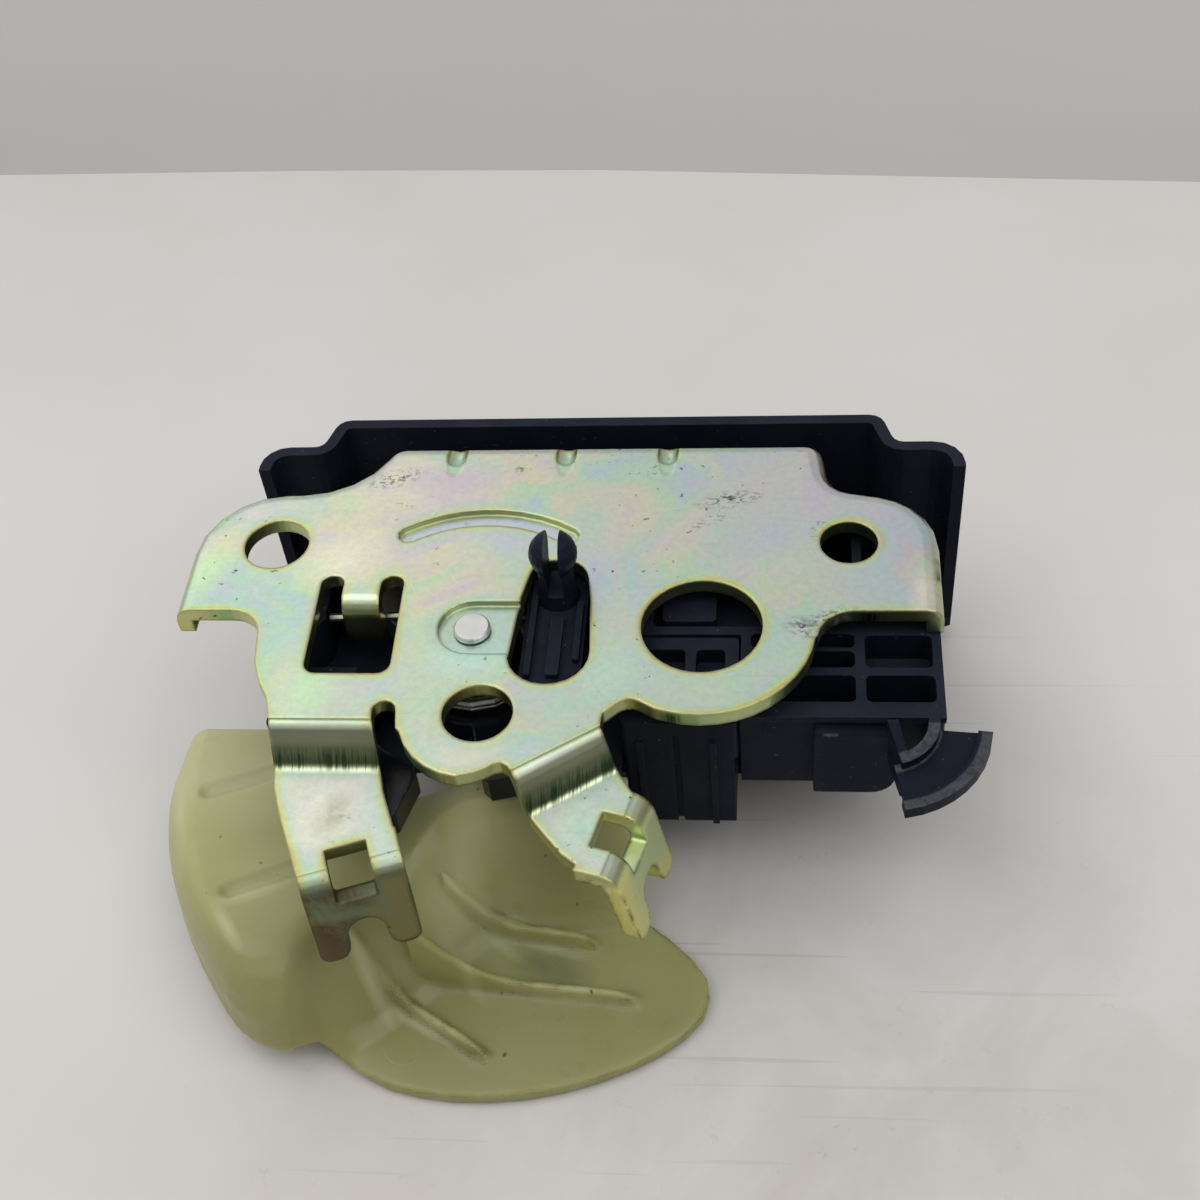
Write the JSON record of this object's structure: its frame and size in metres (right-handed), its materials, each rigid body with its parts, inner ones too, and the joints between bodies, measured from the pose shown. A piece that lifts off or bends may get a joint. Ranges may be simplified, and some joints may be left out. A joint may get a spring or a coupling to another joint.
{
  "type": "boot lid lock",
  "caption": "Boot lid lock with stamped base plate, rotary catch, motor drive, release slide, plug socket and hinged release handle.",
  "frame": {"origin": "midpoint between the two upper fixing holes, on the mounting face of the base plate", "axes": "+Z out of the mounting face, +Y towards the plate's top edge, +X to the right seen from the mounting face"},
  "size_m": [0.1287, 0.104, 0.0521],
  "materials": {
    "yellow_zinc": "yellow zinc plated, satin",
    "bright_steel": "bright",
    "spring_steel": "satin",
    "black_plastic": "satin moulded",
    "coated_black": "gloss coating on the catch",
    "pale_green_plastic": "satin moulded, photoluminescent type",
    "natural_nylon": "satin moulded",
    "brass": "bright",
    "rubber": "matt"
  },
  "bodies": {
    "frame": {"base_plate": "yellow_zinc", "catch_rivet": "bright_steel", "housing": "black_plastic", "rear_cover": "black_plastic", "connector_socket": "black_plastic", "terminal_1": "brass", "terminal_2": "brass", "terminal_3": "brass", "terminal_4": "brass", "catch_spring": "spring_steel", "pawl_pin": "bright_steel", "pawl_spring": "spring_steel", "motor_can": "bright_steel", "motor_end_cap": "black_plastic", "wheel_axle": "bright_steel", "cover_screw_1": "bright_steel", "cover_screw_2": "bright_steel", "cover_screw_3": "bright_steel", "cover_screw_4": "bright_steel", "position_sensor": "black_plastic", "catch_stop": "rubber", "handle_pin_left": "bright_steel", "handle_pin_right": "bright_steel"},
    "catch_body": {"catch": "coated_black"},
    "pawl_body": {"pawl": "bright_steel"},
    "slide_body": {"release_slide": "black_plastic"},
    "worm_body": {"worm": "brass"},
    "wheel_body": {"worm_wheel": "natural_nylon"},
    "handle_body": {"release_handle": "pale_green_plastic"}
  },
  "joints": [
    {"name": "catch_hinge", "type": "hinge", "parent": "frame", "child": "catch_body", "pos_m": [-0.0115, -0.0174, 0], "axis": [0, 0, 1], "range_deg": [0, 45], "stiffness_Nm_per_rad": 0.02, "springref_deg": -20.05, "deforming": ["catch_spring"]},
    {"name": "wheel_hinge", "type": "hinge", "parent": "frame", "child": "wheel_body", "pos_m": [0.01, -0.0013, -0.02641], "axis": [0, 0, 1], "range_deg": [0, 100]},
    {"name": "worm_hinge", "type": "hinge", "parent": "frame", "child": "worm_body", "pos_m": [0.01, 0.0095, -0.02641], "axis": [1, 0, 0], "range_deg": [0, 2400]},
    {"name": "pawl_hinge", "type": "hinge", "parent": "frame", "child": "pawl_body", "pos_m": [-0.0312, 0.0076, 0], "axis": [0, 0, 1], "range_deg": [-7, 0], "deforming": ["pawl_spring"]},
    {"name": "release_slide_joint", "type": "slide", "parent": "frame", "child": "slide_body", "axis": [0, -1, 0], "range_m": [0, 0.012], "stiffness_N_per_m": 40, "springref_m": -0.02},
    {"name": "handle_hinge", "type": "hinge", "parent": "frame", "child": "handle_body", "pos_m": [0, -0.0335, -0.0278], "axis": [1, 0, 0], "range_deg": [0, 24], "stiffness_Nm_per_rad": 0.05, "springref_deg": -17.19}
  ],
  "couplings": [
    {"joint": "worm_hinge", "follows": "wheel_hinge", "ratio": 24},
    {"joint": "pawl_hinge", "follows": "wheel_hinge", "ratio": -0.07}
  ]
}
